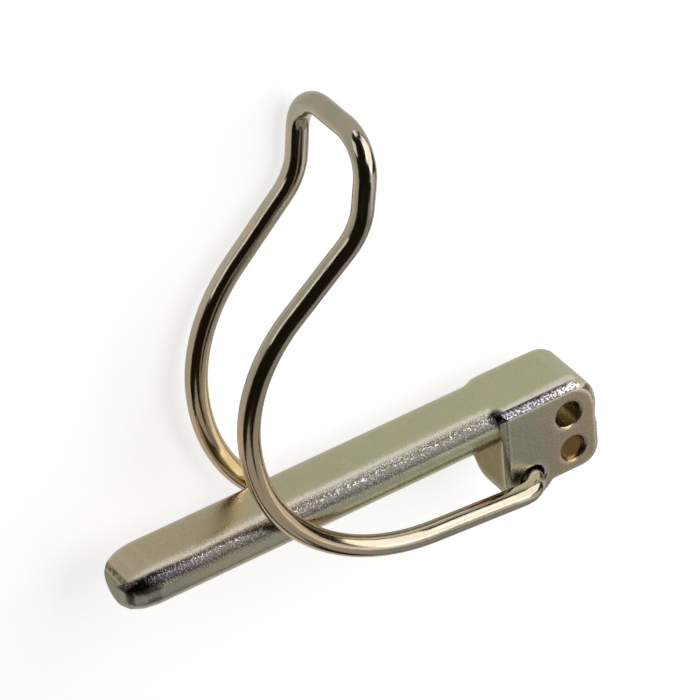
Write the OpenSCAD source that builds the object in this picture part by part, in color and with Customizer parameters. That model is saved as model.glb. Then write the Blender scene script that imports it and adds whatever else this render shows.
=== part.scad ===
// Lynch pin with a wire bail: a forged pin with a flattened head, and one bent
// wire whose two ends turn in the head and whose loop snaps over the pin's tip.
// It lies on one side. X runs from the tip to the head, Y towards the bail's
// loop, and Z up, along the axis that the bail turns on.

/* [Shank] */
// Diameter of the round shank
shank_d = 10; // [8:0.5:12]
// Length of the shank, from the end face to the head's shoulder
shank_l = 63.2; // [50:1:75]
// Height of the flat along the shank's top above the shank's axis
flat_h = 2.9; // [2.2:0.1:3.6]
// Radius over which the flat rolls into the round side, on the near side
near_roll = 2.7; // [1:0.1:3]
// The same radius on the far side
far_roll = 1; // [0.6:0.1:2]
// Length of the tapered lead-in at the tip
lead_l = 5; // [2:0.5:8]
// How far the lead-in draws in on each side
lead_in = 0.95; // [0.3:0.05:1.2]
// Chamfer round the end face
tip_chamfer = 1; // [0.3:0.1:1.2]

/* [Head] */
// How far the head's sides stand out past the shank, each side
head_step = 0.77; // [0.6:0.01:1.5]
// Distance from the bail's pivot down from the shank's axis
pivot_drop = 10.98; // [9.6:0.1:12.5]
// Radius of the lug round the pivot
lug_r = 4.65; // [3.8:0.05:5.2]
// Distance from the pivot to the head's end face
head_reach = 12.3; // [11.4:0.1:15]
// Distance from the pivot down to the head's lower edge
belly = 2.55; // [1.5:0.05:3]
// Radius of the head's lower outer corner
belly_r = 3.2; // [2:0.1:4]
// Radius of the head's upper outer corner
brow_r = 4.8; // [3:0.1:6]
// Depth of the waist pressed into the end face
waist = 0.5; // [0.2:0.05:0.8]
// Radius of that waist
waist_r = 3; // [2:0.5:5]
// Bevel along the head's top edges
top_bevel = 0.95; // [0.5:0.05:1.3]
// Bevel round the rest of the head's edges
soft_edge = 0.7; // [0.4:0.05:1]
// Bevel round the lug, on the near side
lug_edge = 1.2; // [0.6:0.05:1.6]
// Bevel under the head's far side, where the forging is fullest
far_edge = 1.8; // [0.8:0.1:2.2]
// How far the head's far side is drawn in at the shoulder
shoulder_draft = 1.5; // [0.5:0.1:1.8]
// Length over which it widens again
shoulder_run = 3; // [0.6:0.1:3.5]
// Slanting cut off the head's lower corner on the far side: along the head
far_cut_x = 3.8; // [2:0.2:4]
// The same cut's height up the shoulder
far_cut_y = 6; // [3:0.2:7]
// The same cut's width across the shoulder
far_cut_z = 5.4; // [3:0.2:6]

/* [Holes] */
// Diameter of the hole that the bail's ends turn in
pivot_hole_d = 4.2; // [3.8:0.1:4.6]
// Diameter of the lanyard hole
lanyard_d = 4.3; // [3.5:0.1:5]
// Lanyard hole's place from the pivot, towards the end face
lanyard_x = 6.9; // [6:0.1:8]
// Lanyard hole's place from the pivot, upwards
lanyard_y = 8.6; // [7.5:0.1:9.5]
// Diameter of the blind dimple below the lanyard hole
dimple_d = 4.2; // [3.5:0.1:4.6]
// Depth of the dimple
dimple_depth = 0.6; // [0.3:0.1:2]
// Dimple's place from the pivot, towards the end face
dimple_x = 7.4; // [6.5:0.1:8]
// Dimple's place from the pivot, upwards
dimple_y = 1.95; // [1:0.1:2.5]

/* [Bail] */
// Diameter of the bail's wire
wire_d = 3.35; // [2.8:0.05:3.6]
// Gap between each leg and the head's side, at the pivot
leg_gap = 0.95; // [0.5:0.05:1.5]
// How far each end of the wire reaches into the head
end_reach = 4.6; // [3:0.1:5.2]
// How much each leg draws in for every millimetre towards the tip
leg_pinch = 0.04; // [0.02:0.005:0.045]
// How much each leg splays out for every millimetre towards the loop
leg_splay = 0.02; // [0.01:0.005:0.04]
// Inside bend where each end turns into the head, on the wire's centre line
elbow_r = 3.3; // [2.8:0.1:4]
// First corner of the bow, below: distance from the pivot towards the tip
bow_x = 46.6; // [40:0.5:52]
// Rise of the lower leg up to the bow
bow_rise = 2.1; // [0:0.1:4]
// Bend radius of the bow's lower part
bow_lower_r = 29.8; // [24:0.2:30]
// Height of the bow's upper corner
bow_top = 42.3; // [40:0.5:50]
// Bend radius of the bow's upper part
bow_upper_r = 25; // [18:0.5:25.5]
// Neck, where the wire turns up to the loop: distance towards the tip
neck_x = 26.8; // [22:0.5:30]
// Height of the neck
neck_y = 60.1; // [56:0.5:66]
// Bend radius at the neck
neck_r = 9.6; // [6:0.2:12]
// Crossbar's distance from the pivot towards the tip
bar_x = 24.6; // [18:0.5:30]
// Crossbar's height above the pivot
bar_y = 73.6; // [70:0.5:85]
// Bend radius at the crossbar's two ends
bar_r = 5.8; // [4:0.1:7]

/* [Hidden] */
$fn = 64;
// Margin by which a cutting shape runs past the face it cuts
over = 1;
// How far a straight stretch of wire runs into a bend, and how much thinner
// it is, so that the two join in one clean circle
lap = 0.15;
hair = 0.02;
forged = [0.56, 0.54, 0.45];
plated = [0.72, 0.66, 0.50];

shank_r = shank_d / 2;
wire_r = wire_d / 2;
head_w = shank_d + 2 * head_step;
half_w = head_w / 2;
head_top = pivot_drop + flat_h;
shoulder_x = -lug_r;
tip_x = shoulder_x - shank_l;
// The shank runs on into the head, as far as the pivot
shank_root = 0;
// Half the distance between the legs at the pivot, centre line to centre line
hinge_half = half_w + leg_gap + wire_r;

function unit(v) = v / norm(v);

// Half the distance between the legs at a place of the bail's outline
function leg_half(x, y) = hinge_half - leg_pinch * x + leg_splay * y;

loop_half = leg_half(bar_x, bar_y);
// Height of the waist, between the two holes
waist_y = (lanyard_y + dimple_y) / 2 + 1;
// Slope of the legs beside the loop, and so the lowest point of the loop
leg_slope = atan((loop_half - leg_half(neck_x, neck_y))
    / norm([bar_x - neck_x, bar_y - neck_y]));
lowest = loop_half + wire_r - bar_r * (tan(leg_slope) + 1 / cos(leg_slope) - 1);
// The origin is under the middle of the part as it lies
origin = [
    (tip_x + head_reach) / 2,
    (bar_y + wire_r - lug_r) / 2,
    -lowest
];

// Side view of the head without its edges softened
module head_side() {
    difference() {
        union() {
            translate([shoulder_x, 0]) square([head_reach - shoulder_x, head_top + over]);
            translate([0, -belly]) square([head_reach, belly + over]);
        }
        translate([head_reach + waist_r - waist, waist_y]) circle(waist_r);
    }
}

// Takes a square corner off the head, leaving it round and bevelled on both
// faces. The corner is at the origin and the head on the side of +X and +Y
module corner_cut(radius, near, far) {
    side = radius + over;
    difference() {
        translate([-over, -over, -half_w - over]) cube([side, side, head_w + 2 * over]);
        translate([radius, radius, 0]) rotate_extrude() polygon([
            [0, -half_w],
            [radius - far, -half_w],
            [radius, -half_w + far],
            [radius, half_w - near],
            [radius - near, half_w],
            [0, half_w]
        ]);
    }
}

// Slanting cut off the head's lower corner on the far side, by the shoulder
module far_corner_cut() {
    n = unit([1 / far_cut_x, 1 / far_cut_y, 1 / far_cut_z]);
    size = 4 * head_w;
    translate([shoulder_x + far_cut_x, -belly, -half_w])
        rotate([0, acos(n[2]), atan2(n[1], n[0])])
            translate([-size / 2, -size / 2, -size]) cube(size);
}

// Head seen from its end: bevels along the top edges, softened below
module head_section() {
    low = -belly;
    high = head_top + over;
    polygon([
        [low, -half_w + far_edge],
        [low + far_edge, -half_w],
        [head_top - top_bevel, -half_w],
        [high, -half_w + top_bevel + over],
        [high, half_w - top_bevel - over],
        [head_top - top_bevel, half_w],
        [low + soft_edge, half_w],
        [low, half_w - soft_edge]
    ]);
}

// Head seen from above, with the edges of both ends softened
module head_plan() {
    polygon([
        [shoulder_x, half_w - soft_edge],
        [shoulder_x, -half_w + shoulder_draft],
        [shoulder_x + shoulder_run, -half_w],
        [head_reach - soft_edge, -half_w],
        [head_reach, -half_w + soft_edge],
        [head_reach, half_w - soft_edge],
        [head_reach - soft_edge, half_w],
        [shoulder_x + soft_edge, half_w]
    ]);
}

// Lug round the pivot, turned, with a full round on its far side
module lug() {
    rotate_extrude()
        polygon([
            [0, -half_w],
            [lug_r - far_edge, -half_w],
            [lug_r - far_edge * 0.3, -half_w + far_edge * 0.6],
            [lug_r, -half_w + far_edge * 1.4],
            [lug_r, half_w - lug_edge],
            [lug_r - lug_edge * 0.3, half_w - lug_edge * 0.3],
            [lug_r - lug_edge, half_w],
            [0, half_w]
        ]);
}

module head_blank() {
    length = head_reach - shoulder_x + 2 * over;
    height = head_top + belly + 3 * over;
    difference() {
        union() {
            intersection() {
                translate([0, 0, -half_w]) linear_extrude(head_w) head_side();
                translate([shoulder_x - over, 0, 0]) rotate([90, 0, 90])
                    linear_extrude(length) head_section();
                translate([0, head_top + 2 * over, 0]) rotate([90, 0, 0])
                    linear_extrude(height) head_plan();
            }
            lug();
        }
        translate([head_reach, -belly, 0]) rotate(90)
            corner_cut(belly_r, soft_edge, far_edge);
        translate([head_reach, head_top, 0]) rotate(180)
            corner_cut(brow_r, top_bevel, top_bevel);
        far_corner_cut();
    }
}

// Round shank with its lead-in and end chamfer, turned about X
module turned_shank() {
    nose_r = shank_r - lead_in;
    translate([0, pivot_drop, 0]) rotate([90, 0, 90]) rotate_extrude()
        polygon([
            [0, tip_x],
            [nose_r - tip_chamfer, tip_x],
            [nose_r, tip_x + tip_chamfer],
            [shank_r - lead_in * 0.3, tip_x + lead_l * 0.55],
            [shank_r, tip_x + lead_l],
            [shank_r, shank_root],
            [0, shank_root]
        ]);
}

// What the flat loses where it rolls over into the round side. The roll stands
// a hair proud of touching either one, so that it meets both at a plain edge
module flat_roll(radius) {
    roll_y = flat_h + hair - radius;
    roll_z = sqrt(pow(shank_r + hair - radius, 2) - roll_y * roll_y);
    translate([tip_x - over, pivot_drop, 0]) rotate([90, 0, 90])
        linear_extrude(shank_l + 2 * over)
            difference() {
                translate([roll_y, roll_z]) square(shank_r + over);
                translate([roll_y, roll_z]) circle(radius);
            }
}

module shank() {
    difference() {
        turned_shank();
        flat_roll(near_roll);
        mirror([0, 0, 1]) flat_roll(far_roll);
    }
}

// What is pressed off the top, along the shank and the head alike
module top_press() {
    nose_top = head_top - lead_in;
    high = pivot_drop + shank_r + over;
    translate([0, 0, -half_w - over]) linear_extrude(head_w + 2 * over)
        polygon([
            [tip_x - over, high],
            [tip_x - over, nose_top - tip_chamfer],
            [tip_x, nose_top - tip_chamfer],
            [tip_x + tip_chamfer, nose_top],
            [tip_x + lead_l * 0.55, head_top - lead_in * 0.3],
            [tip_x + lead_l, head_top],
            [head_reach + over, head_top],
            [head_reach + over, high]
        ]);
}

module hole(x, y, d, depth) {
    translate([x, y, half_w - depth]) cylinder(d = d, h = depth + over);
}

module pin() {
    color(forged) translate(-origin) difference() {
        union() {
            head_blank();
            shank();
        }
        top_press();
        hole(0, 0, pivot_hole_d, head_w + over);
        hole(lanyard_x, lanyard_y, lanyard_d, head_w + over);
        hole(dimple_x, dimple_y, dimple_d, dimple_depth);
    }
}

// Corners of one leg's centre line and the bend radius at each, from the end
// in the head to the middle of the crossbar. Z is towards the leg's own side
LEG = [
    [[0, 0, half_w - end_reach], 0],
    [[0, 0, hinge_half], elbow_r],
    [[-bow_x, bow_rise, leg_half(bow_x, bow_rise)], bow_lower_r],
    [[-bow_x - 1, bow_top, leg_half(bow_x, bow_top)], bow_upper_r],
    [[-neck_x, neck_y, leg_half(neck_x, neck_y)], neck_r],
    [[-bar_x, bar_y, loop_half], bar_r],
    [[-bar_x, bar_y, 0], 0]
];

// Distance from corner i to the ends of its bend
function setback(i) =
    LEG[i][1] == 0 ? 0 :
    let (
        u = unit(LEG[i - 1][0] - LEG[i][0]),
        v = unit(LEG[i + 1][0] - LEG[i][0])
    )
    LEG[i][1] / tan(acos(u * v) / 2);

// Straight stretch of wire from corner i towards the next one. It is a hair
// thinner than the bends and runs a little way into them
module straight(i) {
    v = LEG[i + 1][0] - LEG[i][0];
    into = setback(i) > 0 ? lap : 0;
    length = norm(v) - setback(i) - setback(i + 1) + into + lap;
    start = LEG[i][0] + unit(v) * (setback(i) - into);
    translate(start)
        rotate([0, acos(v[2] / norm(v)), atan2(v[1], v[0])])
            cylinder(d = wire_d - hair, h = length);
}

// Bent stretch of wire at corner i
module bend(i) {
    u = unit(LEG[i - 1][0] - LEG[i][0]);
    v = unit(LEG[i + 1][0] - LEG[i][0]);
    half = acos(u * v) / 2;
    centre = LEG[i][0] + unit(u + v) * LEG[i][1] / sin(half);
    x = unit(LEG[i][0] + u * setback(i) - centre);
    y = -u;
    z = cross(x, y);
    multmatrix([
        [x[0], y[0], z[0], centre[0]],
        [x[1], y[1], z[1], centre[1]],
        [x[2], y[2], z[2], centre[2]],
        [0, 0, 0, 1]
    ])
        rotate_extrude(angle = 180 - 2 * half)
            translate([LEG[i][1], 0]) circle(d = wire_d);
}

module leg() {
    for (i = [0 : len(LEG) - 3]) straight(i);
    for (i = [1 : len(LEG) - 2]) bend(i);
}

module crossbar() {
    half = loop_half - setback(len(LEG) - 2) + lap;
    translate([-bar_x, bar_y, -half]) cylinder(d = wire_d - hair, h = 2 * half);
}

module bail() {
    color(plated) translate(-origin) {
        leg();
        mirror([0, 0, 1]) leg();
        crossbar();
    }
}

pin();
bail();
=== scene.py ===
# Lynch pin with a wire bail, lying on a pale studio floor.
import math

import bmesh
import bpy
from mathutils import Matrix, Vector


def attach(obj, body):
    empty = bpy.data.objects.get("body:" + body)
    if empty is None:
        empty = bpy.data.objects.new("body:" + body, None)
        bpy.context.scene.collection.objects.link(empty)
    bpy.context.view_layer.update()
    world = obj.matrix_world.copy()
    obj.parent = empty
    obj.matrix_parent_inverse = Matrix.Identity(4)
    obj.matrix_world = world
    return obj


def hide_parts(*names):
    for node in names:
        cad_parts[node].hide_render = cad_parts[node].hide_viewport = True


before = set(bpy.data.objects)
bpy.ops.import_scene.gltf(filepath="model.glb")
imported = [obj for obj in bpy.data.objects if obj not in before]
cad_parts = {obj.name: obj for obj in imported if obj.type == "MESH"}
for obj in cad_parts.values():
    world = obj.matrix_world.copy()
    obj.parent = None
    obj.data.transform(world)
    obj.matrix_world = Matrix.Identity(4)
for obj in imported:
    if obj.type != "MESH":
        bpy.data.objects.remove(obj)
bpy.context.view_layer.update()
mm = 0.001
scene = bpy.context.scene
print("frame loaded")


# Shader sockets as numbers

class Socket:
    def __init__(self, tree, socket):
        self.tree = tree
        self.socket = socket

    def math(self, operation, other=None, third=None):
        node = self.tree.nodes.new("ShaderNodeMath")
        node.operation = operation
        for slot, value in zip(node.inputs, (self, other, third)):
            if isinstance(value, Socket):
                self.tree.links.new(value.socket, slot)
            elif value is not None:
                slot.default_value = value
        return Socket(self.tree, node.outputs[0])

    def __add__(self, other):
        return self.math("ADD", other)

    __radd__ = __add__

    def __mul__(self, other):
        return self.math("MULTIPLY", other)

    __rmul__ = __mul__

    def __sub__(self, other):
        return self.math("SUBTRACT", other)

    def __rsub__(self, other):
        return (self * -1) + other

    def __truediv__(self, other):
        return self.math("DIVIDE", other)

    def __pow__(self, other):
        return self.math("POWER", other)

    def clamp(self):
        return self.math("MINIMUM", 1.0).math("MAXIMUM", 0.0)


class Shader:
    def __init__(self, name):
        self.material = bpy.data.materials.new(name)
        self.material.use_nodes = True
        self.tree = self.material.node_tree
        self.tree.nodes.clear()

    def node(self, kind, settings=None, out=0, **values):
        node = self.tree.nodes.new("ShaderNode" + kind)
        for key, value in (settings or {}).items():
            if key == "stops":
                ramp = node.color_ramp
                while len(ramp.elements) > 1:
                    ramp.elements.remove(ramp.elements[-1])
                ramp.elements[0].position = value[0][0]
                ramp.elements[0].color = value[0][1]
                for position, shade in value[1:]:
                    ramp.elements.new(position).color = shade
            else:
                setattr(node, key, value)
        for key, value in values.items():
            slot = node.inputs[int(key[1:])] if key[0] == "i" and key[1:].isdigit() \
                else node.inputs[key.replace("_", " ")]
            if isinstance(value, Socket):
                self.tree.links.new(value.socket, slot)
            else:
                slot.default_value = value
        return Socket(self.tree, node.outputs[out])

    def mix(self, amount, first, second, blend="MIX"):
        settings = {"data_type": "RGBA", "blend_type": blend}
        return self.node("Mix", settings, out=2, i0=amount, i6=first, i7=second)

    def finish(self, surface):
        output = self.tree.nodes.new("ShaderNodeOutputMaterial")
        self.tree.links.new(surface.socket, output.inputs["Surface"])
        return self.material


def colour(r, g, b):
    return (r, g, b, 1.0)


def split(s, place):
    return [s.node("SeparateXYZ", out=index, Vector=place) for index in range(3)]


def noise(s, place, sizeMm, detail, roughness=0.5, distortion=0.0):
    return s.node("TexNoise", {"noise_dimensions": "3D"}, Vector=place, Scale=1 / (sizeMm * mm),
                  Detail=detail, Roughness=roughness, Distortion=distortion)


def distance(s, place, pointMm):
    return s.node("VectorMath", {"operation": "DISTANCE"}, out=1, i0=place,
                  i1=tuple(v * mm for v in pointMm))


# a zone is a place and the width of the change that starts there
def along(value, zone, unit=mm):
    start, width = zone
    return (value - start * unit) / (width * unit)


# 0 before the place and 1 after the change
def rise(value, zone, unit=mm):
    return along(value, zone, unit).clamp()


# 1 before the change and 0 after the place
def fall(value, zone, unit=mm):
    start, width = zone
    return ((start * unit - value) / (width * unit)).clamp()


# Forged, zinc-plated and passivated steel

forgedLook = {
    # the film's colours, from thin to thick, and what of each noise decides them
    "film": [(0.34, colour(0.50, 0.58, 0.42)), (0.45, colour(0.56, 0.59, 0.40)),
             (0.55, colour(0.62, 0.60, 0.38)), (0.63, colour(0.70, 0.57, 0.44)),
             (0.71, colour(0.50, 0.46, 0.47))],
    "filmShares": (0.25, 0.32, 0.43),
    "warm": colour(0.63, 0.49, 0.36),
    "cool": colour(0.38, 0.44, 0.39),
    "faceNear": colour(0.42, 0.41, 0.30),
    "faceFar": colour(0.51, 0.37, 0.25),
    # partly a warmer yellow-brown tint, partly painted shade on the shoulder's wall
    "wall": colour(0.29, 0.21, 0.07),
    # pale wear on edges, and a painted highlight along the roll and the head's upper edge
    "wearAndHighlight": colour(0.97, 0.90, 0.82),
    # dark of the pits, and of the painted dark reflection and painted shade under the roll and on
    # the bevel
    "pitsAndPaintedShade": colour(0.050, 0.040, 0.050),
    # pale specks in the painted dark reflection under the roll
    "spark": colour(0.74, 0.67, 0.70),
    # pale specks of the painted reflection on the bevel, away from the head's edge
    "lilac": colour(0.66, 0.62, 0.70),
    # painted shade in the hollows
    "hollowShade": colour(0.20, 0.15, 0.08),
    # painted shade of the recess: darker brown inside the dimple and round its rim
    "dimple": colour(0.24, 0.135, 0.05),
    # painted light and shade: the lit and the shaded side of the hole
    "holeLit": colour(1.0, 0.90, 0.62),
    "holeShaded": colour(0.16, 0.11, 0.06),
    # painted dark reflection on the tip's chamfer
    "chamfer": colour(0.10, 0.12, 0.07),
    "endFace": colour(0.32, 0.33, 0.22),
    # how much of each colour is laid over the film
    "warmShare": 0.65,
    "coolShare": 0.75,
    "faceShare": 0.85,
    "faceMottle": 2.2,
    "wallShare": (0.6, 0.6),
    "wornShare": 0.95,
    "wornFleck": (0.58, 0.8),
    "hollowShare": 0.6,
    "rimShare": 0.5,
    "holeShare": 0.9,
    "chamferShare": 0.9,
    "chamferPatches": (4.5, 1.5),
    "bevelShare": 0.9,
    "bevelEdgeShare": 0.8,
    "pitShare": (0.28, 0.32),
    # how much painted dark reflection lies under the roll, and how much more near the tip
    "darkBandShare": (0.84, 0.16),
    # the worn edges, the painted shade in hollows and the bright bands (partly wear, partly
    # painted highlight): how strong, and how the grain breaks the bands up
    "edgeGain": 1.2,
    "hollowEdge": (-1.6, 0.2),
    "bandGain": 1.3,
    "bandGrain": (6.0, 4.0),
    "bandCut": 0.1,
    # levels of the grain above which it shows, and how sharply
    "speckle": (0.562, 24.0),
    "speckleTip": 0.35,
    "speckleBelow": 0.65,
    # the dark and pale specks of the bevel's painted reflection
    "bevelSpeckle": (0.49, 9.0),
    "bevelSpeckleBrow": 0.08,
    "pits": (0.60, 6.0),
    # noises: size in mm, detail, roughness and distortion
    "broad": (5.5, 3.0, 0.55, 0.5),
    "blotch": (1.5, 4.0, 0.62, 0.8),
    "fleck": (0.42, 2.0, 0.6),
    "grain": (0.30, 2.0, 0.75),
    "wave": (5.0, 1.0),
    "scratch": (0.28, 2.0, 0.6),
    "scratchStretch": (1.0, 0.06, 1.0),
    "roughness": 0.25,
    "roughFleck": 0.20,
    "roughBlotch": 0.10,
    "roughFlat": 0.09,
    "bumpStrength": 0.6,
    "grainHeightMm": 0.050,
    "waveShare": 0.85,
    "grainBelow": 0.8,
    "grainRoll": 0.5,
    "scratchShare": 0.5,
}

# Places on the pin in mm. y and z are measured from the shank's axis, and the
# turn from the middle of the flat, in radians. A pair is a place and a width.
forgedZones = {
    "axisY": -24.3325,
    "axisZ": 10.4042,
    "tip": -40.075,
    "shankEnd": (23.1, 0.5),
    "leadIn": (-27.5, 8),
    "towardTip": (6, 46),
    # the turn wavers a little along the shank, and shifts near the tip
    "waver": 0.10,
    "tipShift": 0.08,
    "flatTurn": (0.60, 0.2),
    "rollZ": (1.8, 1.1),
    "rollTurn": (0.985, 0.05),
    # where the painted dark reflection under the roll starts and ends round the shank
    "darkBandFromTurn": (0.975, 0.07),
    "darkBandToTurn": (1.52, 0.14),
    "thinTurn": (1.13, 0.08),
    "undersideTurn": (1.50, 0.20),
    # the head's upper edge, where the bright band, partly wear and partly painted highlight,
    # narrows towards the shoulder
    "browZ": (2.7, 1.0),
    "browY": (2.2, 0.3),
    "browEnd": (31, 5),
    "browSlope": 0.06,
    "browSlopeX": 35,
    "faceZ": (5.4, 0.2),
    "faceX": (27.5, 7),
    # the head's long bevel: its lower edge is 0 and its upper edge 1
    "bevelPlace": 3.82,
    "bevelWidth": 1.9,
    "bevelFrom": (-0.10, 0.1),
    "bevelTo": (1.10, 0.1),
    "bevelZ": (4.4, 0.2),
    "bevelX": (38.2, 1.6),
    "bevelMiddle": 0.5,
    "bevelEdge": (7, 2.7),
    # a dark spot where the bevel and the roll meet
    "darkSpotAt": (22.9, -21.9, 14.9),
    "darkSpot": (1.44, 0.9),
    "dimpleAt": (35.175, -33.3625, 16.0),
    "dimple": (2.3, 0.15),
    "dimpleZ": (5.65, 0.2),
    # the dark ring of painted shade round the dimple's rim
    "dimpleRimAt": 2.12,
    "dimpleRim": (0.16, 0.16),
    "dimplePlain": (2.6, 0.3),
    "holeAt": (34.675, -26.7125),
    "hole": (2.28, 0.12),
    "holePlain": (2.7, 0.3),
    # painted light and shade: a lit and a shaded side of the hole, set in its colour
    "holeLitX": 0.846,
    "holeLitY": 0.532,
    "holeSplit": (0.63, 0.9),
    # distances from the tip's end face
    "end": (0.22, 0.1),
    # where the painted dark reflection on the tip's chamfer lies
    "chamferFrom": (0.25, 0.15),
    "chamferTo": (1.1, 0.25),
    "tipEdges": (1.35, 0.3),
    # the shoulder's wall under the shank
    "wallZ": (5.2, 0.4),
    "wallY": (0.3, 0.5),
    "wallFromX": (18.0, 0.5),
    "wallToX": (26.0, 0.5),
}


def above(value, pair):
    level, gain = pair
    return ((value - level) * gain).clamp()


def gained(value, pair):
    gain, cut = pair
    return (value * gain - cut).clamp()


def forgedZinc(look, zones):
    s = Shader("forgedZinc")
    place = s.node("TexCoord", out=3)
    x, y, z = split(s, place)
    y = y - zones["axisY"] * mm
    z = z - zones["axisZ"] * mm
    edge = s.node("Attribute", {"attribute_name": "edge"}, out=2)
    broad = noise(s, place, *look["broad"])
    blotch = noise(s, place, *look["blotch"])
    fleck = noise(s, place, *look["fleck"])
    grain = noise(s, place, *look["grain"])
    wave = noise(s, place, *look["wave"])
    long = s.node("Mapping", i0=place, i3=look["scratchStretch"])
    flat = s.node("Mapping", i0=place, i3=(1.0, 1.0, 0.0))
    scratch = noise(s, long, *look["scratch"])

    # the shank, by the angle round its axis
    nearTip = fall(x, zones["leadIn"])
    turn = z.math("ARCTAN2", y) + (broad - 0.5) * zones["waver"] + nearTip * zones["tipShift"]
    onShank = fall(x, zones["shankEnd"])
    onHead = 1 - onShank
    belowRoll = rise(turn, zones["darkBandFromTurn"], 1) * fall(turn, zones["darkBandToTurn"], 1) * onShank
    onRoll = rise(z, zones["rollZ"]) * fall(turn, zones["rollTurn"], 1) * onShank
    underside = rise(turn, zones["undersideTurn"], 1) * nearTip

    # the head's upper edge, near face, bevel and the mark where bevel and roll meet
    drawn = onHead * (zones["browSlopeX"] * mm - x) * zones["browSlope"]
    onBrow = rise(z - drawn, zones["browZ"]) * rise(y, zones["browY"]) * onHead
    onFace = rise(z, zones["faceZ"]) * onHead
    up = ((y - z) / mm + zones["bevelPlace"]) / zones["bevelWidth"]
    nearBrow = rise(x, zones["browEnd"])
    onBevel = rise(up, zones["bevelFrom"], 1) * fall(up, zones["bevelTo"], 1) * onHead \
        * rise(z, zones["bevelZ"]) * fall(x, zones["bevelX"])
    offMiddle = (up - zones["bevelMiddle"]).math("ABSOLUTE")
    # the bevel's two edges, darkened below as painted shade
    bevelEdge = onBevel * gained(offMiddle, zones["bevelEdge"])
    darkSpot = fall(distance(s, place, zones["darkSpotAt"]), zones["darkSpot"])

    # the dimple and the hole
    fromDimple = distance(s, place, zones["dimpleAt"])
    inDimple = fall(fromDimple, zones["dimple"]) * fall(z, zones["dimpleZ"])
    offRim = (fromDimple - zones["dimpleRimAt"] * mm).math("ABSOLUTE")
    dimpleRim = fall(offRim, zones["dimpleRim"]) * onFace
    fromHole = distance(s, flat, zones["holeAt"] + (0.0,))
    inHole = fall(fromHole, zones["hole"]) * onHead
    plainRims = rise(fromHole, zones["holePlain"]) * rise(fromDimple, zones["dimplePlain"])
    holeX = x - zones["holeAt"][0] * mm
    holeY = y - (zones["holeAt"][1] - zones["axisY"]) * mm
    lit = fall(holeX * zones["holeLitX"] + holeY * zones["holeLitY"], zones["holeSplit"])

    # the tip and the shoulder's wall
    fromTip = x - zones["tip"] * mm
    onChamfer = fall(fromTip, zones["chamferTo"]) * rise(fromTip, zones["chamferFrom"])
    onTip = fall(fromTip, zones["tipEdges"])
    onEnd = fall(fromTip, zones["end"])
    onWall = fall(z, zones["wallZ"]) * fall(y, zones["wallY"]) \
        * rise(x, zones["wallFromX"]) * fall(x, zones["wallToX"])

    # the film, warmer towards the tip, and the colours of the single faces
    ofBroad, ofBlotch, ofFleck = look["filmShares"]
    base = s.node("ValToRGB", {"stops": look["film"]},
                  Fac=broad * ofBroad + blotch * ofBlotch + fleck * ofFleck)
    towardTip = fall(x, zones["towardTip"])
    base = s.mix(towardTip * look["warmShare"], base, look["warm"])
    base = s.mix(underside * look["coolShare"], base, look["cool"])
    across = (along(x, zones["faceX"]) + (blotch - 0.5) * look["faceMottle"]).clamp()
    face = s.mix(across, look["faceNear"], look["faceFar"])
    base = s.mix(onFace * look["faceShare"], base, face)
    # the shoulder's wall: a warmer tint and painted shade
    least, mottle = look["wallShare"]
    base = s.mix(onWall * (least + blotch * mottle).clamp(), base, look["wall"])

    # worn edges, bright bands that are partly wear and partly painted highlight, and painted shade
    # in hollows
    wornEdge = edge.math("MAXIMUM", 0.0) * look["edgeGain"] * plainRims * (1 - onTip)
    coarse, smoother = look["bandGrain"]
    # the bright bands along the roll and the brow: partly wear, partly a painted highlight
    bands = onRoll + onBrow
    broken = (grain - 0.5) * (coarse - onBrow * nearBrow * smoother)
    band = bands * look["bandGain"] + broken - look["bandCut"]
    wearAndHighlight = (wornEdge + band.clamp() * bands.clamp()).clamp()
    least, flecked = look["wornFleck"]
    bright = (wearAndHighlight * (least + fleck * flecked)).clamp() * look["wornShare"]
    base = s.mix(bright, base, look["wearAndHighlight"])
    # painted shade in the hollows, where the edge attribute is below zero
    base = s.mix(gained(edge, look["hollowEdge"]) * look["hollowShare"], base, look["hollowShade"])
    # painted shade of the recess: darker brown inside the dimple and a dark ring round its rim
    base = s.mix((inDimple + dimpleRim * look["rimShare"]).clamp(), base, look["dimple"])
    # painted light and shade: the hole's lit and shaded sides, set in its colour
    hole = s.mix(lit, look["holeShaded"], look["holeLit"])
    base = s.mix(inHole * look["holeShare"], base, hole)
    base = s.mix(onEnd, base, look["endFace"])
    # painted dark reflection on the tip's chamfer, broken into patches
    patches = gained(blotch, look["chamferPatches"])
    base = s.mix(onChamfer * patches * look["chamferShare"], base, look["chamfer"])

    # a painted dark reflection with pale specks under the roll, painted reflection specks on the
    # bevel, and pits everywhere
    speckle = above(grain, look["speckle"]) * (1 - nearTip * look["speckleTip"])
    speckle = speckle * (1 - rise(turn, zones["thinTurn"], 1) * look["speckleBelow"])
    # the painted dark reflection under the roll, broken by pale specks
    speckledDarkReflection = s.mix(speckle, look["pitsAndPaintedShade"], look["spark"])
    least, more = look["darkBandShare"]
    paintedDarkBand = (belowRoll * (least + nearTip * more) + darkSpot).clamp()
    base = s.mix(paintedDarkBand, base, speckledDarkReflection)
    # the bevel painted in dark and pale specks, a painted reflection, paler towards the head's
    # edge
    bevelSpeckle = above(grain + nearBrow * look["bevelSpeckleBrow"], look["bevelSpeckle"])
    pale = s.mix(nearBrow, look["lilac"], look["wearAndHighlight"])
    base = s.mix(onBevel * look["bevelShare"], base, s.mix(bevelSpeckle, look["pitsAndPaintedShade"], pale))
    # painted shade along the bevel's two edges, and the dark spot where bevel and roll meet
    dark = (bevelEdge + darkSpot).clamp() * look["bevelEdgeShare"]
    base = s.mix(dark, base, look["pitsAndPaintedShade"])
    least, more = look["pitShare"]
    pits = above(grain, look["pits"]) * (least + towardTip * more)
    base = s.mix(pits, base, look["pitsAndPaintedShade"])

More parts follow.
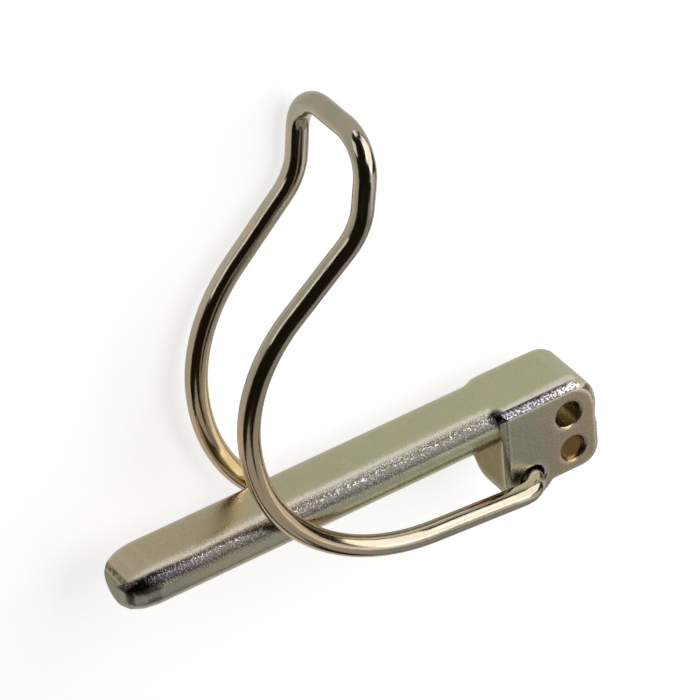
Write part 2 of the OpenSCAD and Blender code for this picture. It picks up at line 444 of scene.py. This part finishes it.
    matte = fall(turn.math("ABSOLUTE"), zones["flatTurn"], 1) * onShank
    rough = look["roughness"] + (fleck - 0.5) * look["roughFleck"] \
        + (blotch - 0.5) * look["roughBlotch"] + matte * look["roughFlat"]
    rougher = 1 + belowRoll * look["grainBelow"] + onRoll * look["grainRoll"]
    height = grain * rougher + scratch * onFace * look["scratchShare"]
    bump = s.node("Bump", Strength=look["bumpStrength"], Distance=look["grainHeightMm"] * mm,
                  Height=height + wave * look["waveShare"])
    surface = s.node("BsdfPrincipled", Base_Color=base, Metallic=1.0,
                     Roughness=rough.clamp(), Normal=bump)
    return s.finish(surface)


# Drawn wire, zinc-plated, smooth and glossy

wireLook = {
    "straw": colour(0.50, 0.45, 0.36),
    "olive": colour(0.43, 0.42, 0.30),
    "rose": colour(0.54, 0.44, 0.36),
    "stops": (0.36, 0.5, 0.64),
    "blotchShare": 0.6,
    "streakShare": 0.4,
    # the film is thicker on the bow's lower left
    "tan": colour(0.76, 0.58, 0.38),
    "tanShare": 0.85,
    "lowY": (8, 16),
    "leftX": (2, 12),
    "blotch": (5.0, 3.0, 0.5, 0.6),
    "fine": (0.45, 2.0, 0.6),
    # streaks change slowly along the wire, and quickly round it
    "streakAlong": 30.0,
    "streakScale": 4.5,
    "streakDetail": 3.0,
    "streakRoughness": 0.65,
    "roughness": 0.14,
    "roughFine": 0.10,
    "roughStreak": 0.12,
    "bumpStrength": 0.4,
    "streakHeightMm": 0.045,
    "fineHeight": 0.25,
}


def wireZinc(look):
    s = Shader("wireZinc")
    place = s.node("TexCoord", out=3)
    x, y, _ = split(s, place)
    blotch = noise(s, place, *look["blotch"])
    fine = noise(s, place, *look["fine"])
    # streaks left by the die run along the wire: they depend on the place round it
    about = s.node("Attribute", {"attribute_name": "about"}, out=1)
    slow = s.node("VectorMath", {"operation": "SCALE"}, i0=place, Scale=look["streakAlong"])
    lines = s.node("VectorMath", {"operation": "ADD"}, i0=about, i1=slow)
    streak = s.node("TexNoise", {"noise_dimensions": "3D"}, Vector=lines,
                    Scale=look["streakScale"], Detail=look["streakDetail"],
                    Roughness=look["streakRoughness"])
    stops = list(zip(look["stops"], (look["olive"], look["straw"], look["rose"])))
    base = s.node("ValToRGB", {"stops": stops},
                  Fac=blotch * look["blotchShare"] + streak * look["streakShare"])
    lowerLeft = fall(y, look["lowY"]) * fall(x, look["leftX"])
    base = s.mix(lowerLeft * look["tanShare"], base, look["tan"])
    rough = look["roughness"] + (fine - 0.5) * look["roughFine"] \
        + (streak - 0.5) * look["roughStreak"]
    bump = s.node("Bump", Strength=look["bumpStrength"], Distance=look["streakHeightMm"] * mm,
                  Height=streak + fine * look["fineHeight"])
    surface = s.node("BsdfPrincipled", Base_Color=base, Metallic=1.0,
                     Roughness=rough.clamp(), Normal=bump)
    return s.finish(surface)


# Pin: the forging, its edges rounded over as the die and the plating leave them

pinShape = {
    "mergeMm": 0.0005,
    "voxelMm": 0.2,
    "smoothing": 5,
    # the roll between the flat and the round side, crowned further over the flat
    "rollSmoothing": 45,
    "rollZ": (1.2, 5.2),
    "rollY": (0.6, 4.0),
    "rollX": (-39.0, 22.6),
    # the same along the head's top edge
    "browSmoothing": 50,
    "browZ": (2.6, 5.5),
    "browY": (1.5, 4.0),
    "browX": (23.6, 39.0),
    "edgeSmoothing": 10,
    "edgeMm": 0.10,
}


def addObject(mesh, name):
    data = bpy.data.meshes.new(name)
    mesh.to_mesh(data)
    mesh.free()
    piece = bpy.data.objects.new(name, data)
    scene.collection.objects.link(piece)
    return piece


def smoothed(mesh, verts, times):
    for _ in range(times):
        bmesh.ops.smooth_vert(mesh, verts=verts, factor=0.5, use_axis_x=True,
                              use_axis_y=True, use_axis_z=True)


def makePin():
    shape = pinShape
    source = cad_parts["pin"]
    mesh = bmesh.new()
    mesh.from_mesh(source.data)
    bmesh.ops.transform(mesh, matrix=source.matrix_world, verts=mesh.verts)
    bmesh.ops.remove_doubles(mesh, verts=mesh.verts, dist=shape["mergeMm"] * mm)
    piece = addObject(mesh, "forgedPin")
    remesh = piece.modifiers.new("Remesh", "REMESH")
    remesh.mode = "VOXEL"
    remesh.voxel_size = shape["voxelMm"] * mm
    dense = bpy.data.meshes.new_from_object(
        piece.evaluated_get(bpy.context.evaluated_depsgraph_get()))
    piece.modifiers.remove(remesh)

    mesh = bmesh.new()
    mesh.from_mesh(dense)
    smoothed(mesh, mesh.verts, shape["smoothing"])
    for zone in ("roll", "brow"):
        chosen = []
        for vert in mesh.verts:
            y = vert.co.y / mm - forgedZones["axisY"]
            z = vert.co.z / mm - forgedZones["axisZ"]
            inside = [low < value < high for value, (low, high) in
                      ((vert.co.x / mm, shape[zone + "X"]), (y, shape[zone + "Y"]),
                       (z, shape[zone + "Z"]))]
            if all(inside):
                chosen.append(vert)
        smoothed(mesh, chosen, shape[zone + "Smoothing"])
    # how far each point stands out from its surroundings: edges up, hollows down
    mesh.normal_update()
    before = [(vert.co.copy(), vert.normal.copy()) for vert in mesh.verts]
    smoothed(mesh, mesh.verts, shape["edgeSmoothing"])
    layer = mesh.verts.layers.float.new("edge")
    for vert, (place, normal) in zip(mesh.verts, before):
        vert[layer] = (place - vert.co).dot(normal) / (shape["edgeMm"] * mm)
        vert.co = place
    for face in mesh.faces:
        face.smooth = True
    piece.data = bpy.data.meshes.new("forgedPin")
    mesh.to_mesh(piece.data)
    mesh.free()
    piece.data.materials.append(forgedZinc(forgedLook, forgedZones))
    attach(piece, "pin")
    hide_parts("pin")
    return piece


# Bail: one wire, bent along the same centre line as in the source

bailShape = {
    "wireMm": 3.35,
    "around": 40,
    "runStepMm": 2.5,
    "arcStepMm": 0.9,
    "leastArcSteps": 4,
    "mergeMm": 0.001,
    "pivot": (27.775, -35.3125, 10.4042),
    "hingeHalf": 8.395,
    "endHalf": 1.17,
    "pinch": 0.04,
    "splay": 0.02,
    # corners of one leg from the pivot: x, y and bend radius
    "corners": [(0, 0, 3.3), (-46.6, 2.1, 29.8), (-47.6, 42.3, 25), (-26.8, 60.1, 9.6),
                (-24.6, 73.6, 5.8)],
}


def wireCorners(shape):
    def half(x, y):
        return shape["hingeHalf"] + shape["pinch"] * x + shape["splay"] * y

    near = [(Vector((0, 0, shape["endHalf"])), 0)]
    for x, y, radius in shape["corners"]:
        near.append((Vector((x, y, half(x, y))), radius))
    far = [(Vector((p.x, p.y, -p.z)), radius) for p, radius in reversed(near)]
    return near + far


def makeBail():
    shape = bailShape
    radius = shape["wireMm"] / 2
    corners = wireCorners(shape)
    mesh = bmesh.new()
    layer = mesh.verts.layers.float_vector.new("about")
    ring = bmesh.ops.create_circle(mesh, segments=shape["around"], radius=radius)["verts"]
    for vert in ring:
        vert[layer] = vert.co / radius
    bmesh.ops.translate(mesh, vec=corners[0][0], verts=ring)
    edges = list({e for v in ring for e in v.link_edges})
    place = corners[0][0].copy()
    for index in range(1, len(corners)):
        here, bendRadius = corners[index]
        back = (corners[index - 1][0] - here).normalized()
        setback = 0
        if bendRadius:
            onward = (corners[index + 1][0] - here).normalized()
            half = math.acos(max(-1, min(1, back.dot(onward)))) / 2
            setback = bendRadius / math.tan(half)
        run = (here + back * setback) - place
        steps = max(1, int(run.length / shape["runStepMm"]))
        for _ in range(steps):
            out = bmesh.ops.extrude_edge_only(mesh, edges=edges)["geom"]
            verts = [g for g in out if isinstance(g, bmesh.types.BMVert)]
            edges = [g for g in out if isinstance(g, bmesh.types.BMEdge)]
            bmesh.ops.translate(mesh, vec=run / steps, verts=verts)
        place = place + run
        if bendRadius:
            centre = here + (back + onward).normalized() * bendRadius / math.sin(half)
            turn = math.pi - 2 * half
            axis = (-back).cross(onward).normalized()
            steps = max(shape["leastArcSteps"], int(turn * bendRadius / shape["arcStepMm"]))
            out = bmesh.ops.spin(mesh, geom=edges, cent=centre, axis=axis, angle=turn,
                                 steps=steps, use_merge=False)["geom_last"]
            edges = [g for g in out if isinstance(g, bmesh.types.BMEdge)]
            place = here + onward * setback
    bmesh.ops.remove_doubles(mesh, verts=mesh.verts, dist=shape["mergeMm"])
    ends = [e for e in mesh.edges if e.is_boundary]
    bmesh.ops.holes_fill(mesh, edges=ends, sides=0)
    bmesh.ops.recalc_face_normals(mesh, faces=mesh.faces)
    bmesh.ops.translate(mesh, vec=Vector(shape["pivot"]), verts=mesh.verts)
    bmesh.ops.scale(mesh, vec=Vector((mm, mm, mm)), verts=mesh.verts)
    for face in mesh.faces:
        face.smooth = len(face.verts) == 4
    piece = addObject(mesh, "wireBail")
    piece.data.materials.append(wireZinc(wireLook))
    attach(piece, "bail")
    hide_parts("bail")
    return piece


makePin()
print("pin made")
makeBail()
print("bail made")


# Floor, light and camera

studio = {
    "floorMm": 6000,
    "floorGrey": 0.66,
    "cameraLift": 0.72,
    # what metal sees of the floor: one level, and a little more beside the part, along +Y
    "glossyLevel": 0.50,
    "glossyNorth": 0.20,
    "glossyNorthY": (0, 12),
    "glossyTint": (1.0, 0.97, 0.89),
    "glossyCentre": (12, -4),
    "glossyReach": (50, 12),
    "matteInGlossy": 0.3,
    "worldColour": (0.014, 0.010, 0.006),
    "lens": 229.67,
    "sensor": 36,
    "clipStart": 0.01,
    "camera": (-243.729, 389.020, 453.103),
    "right": (0.839562, -0.080523, 0.537263),
    "up": (0.384119, 0.787330, -0.482248),
    "toward": (-0.384172, 0.611250, 0.691943),
    # soft boxes: azimuth from +X, elevation, distance, width, height, brightness
    "boxes": {
        "keyBox": (31, 39, 450, 400, 560, 1.85),
        "kickBox": (64, 38, 450, 95, 330, 1.7),
        "topBox": (-12, 65, 450, 240, 190, 0.65),
        "sideBox": (-31, 36, 450, 190, 430, 0.65),
        "fillBox": (-62, 32, 470, 300, 400, 0.37),
        "backBox": (-115, 29, 470, 400, 320, 0.36),
        "rimCard": (84, 6, 430, 150, 84, 1.5),
        "edgeCard": (141, 8, 430, 220, 110, 1.3),
    },
}


def makeFloor():
    mesh = bmesh.new()
    bmesh.ops.create_grid(mesh, x_segments=1, y_segments=1, size=studio["floorMm"] * mm / 2)
    floor = addObject(mesh, "floor")
    s = Shader("paleFloor")
    grey = studio["floorGrey"]
    seen = s.node("LightPath", out=0)
    glossy = s.node("LightPath", out=3)
    place = s.node("TexCoord", out=3)
    away = distance(s, place, studio["glossyCentre"] + (0.0,))
    north = split(s, place)[1]
    beside = rise(north, studio["glossyNorthY"]) * fall(away, studio["glossyReach"])
    sheen = studio["glossyLevel"] + beside * studio["glossyNorth"]
    shade = s.mix(glossy * (1 - studio["matteInGlossy"]), colour(grey, grey, grey),
                  colour(0, 0, 0))
    matte = s.node("BsdfDiffuse", Color=shade)
    tint = s.mix(glossy, colour(1, 1, 1), colour(*studio["glossyTint"]))
    glow = s.node("VectorMath", {"operation": "SCALE"}, i0=tint,
                  Scale=seen * studio["cameraLift"] + glossy * sheen)
    lift = s.node("Emission", Color=glow, Strength=1.0)
    floor.data.materials.append(s.finish(s.node("AddShader", i0=matte, i1=lift)))


def makeSoftBox(name, box):
    azimuth, elevation, far, width, height, brightness = box
    lamp = bpy.data.lights.new(name, "AREA")
    lamp.shape = "RECTANGLE"
    lamp.size = width * mm
    lamp.size_y = height * mm
    lamp.energy = brightness * math.pi * lamp.size * lamp.size_y
    holder = bpy.data.objects.new(name, lamp)
    scene.collection.objects.link(holder)
    turn = Matrix.Rotation(math.radians(azimuth), 3, "Z")
    tilt = Matrix.Rotation(-math.radians(elevation), 3, "Y")
    out = turn @ tilt @ Vector((1, 0, 0))
    holder.location = out * far * mm
    holder.rotation_euler = out.to_track_quat("Z", "Y").to_euler()


def makeWorld():
    world = bpy.data.worlds.new("studio")
    scene.world = world
    world.use_nodes = True
    background = world.node_tree.nodes["Background"]
    background.inputs["Color"].default_value = colour(*studio["worldColour"])
    background.inputs["Strength"].default_value = 1.0


def makeCamera():
    camera = bpy.data.cameras.new("camera")
    camera.lens = studio["lens"]
    camera.sensor_width = studio["sensor"]
    camera.clip_start = studio["clipStart"]
    holder = bpy.data.objects.new("camera", camera)
    scene.collection.objects.link(holder)
    turn = Matrix((studio["right"], studio["up"], studio["toward"])).transposed().to_4x4()
    holder.matrix_world = Matrix.Translation(Vector(studio["camera"]) * mm) @ turn
    scene.camera = holder


makeFloor()
for boxName, box in studio["boxes"].items():
    makeSoftBox(boxName, box)
makeWorld()
makeCamera()
scene.view_settings.view_transform = "Standard"
print("studio made")
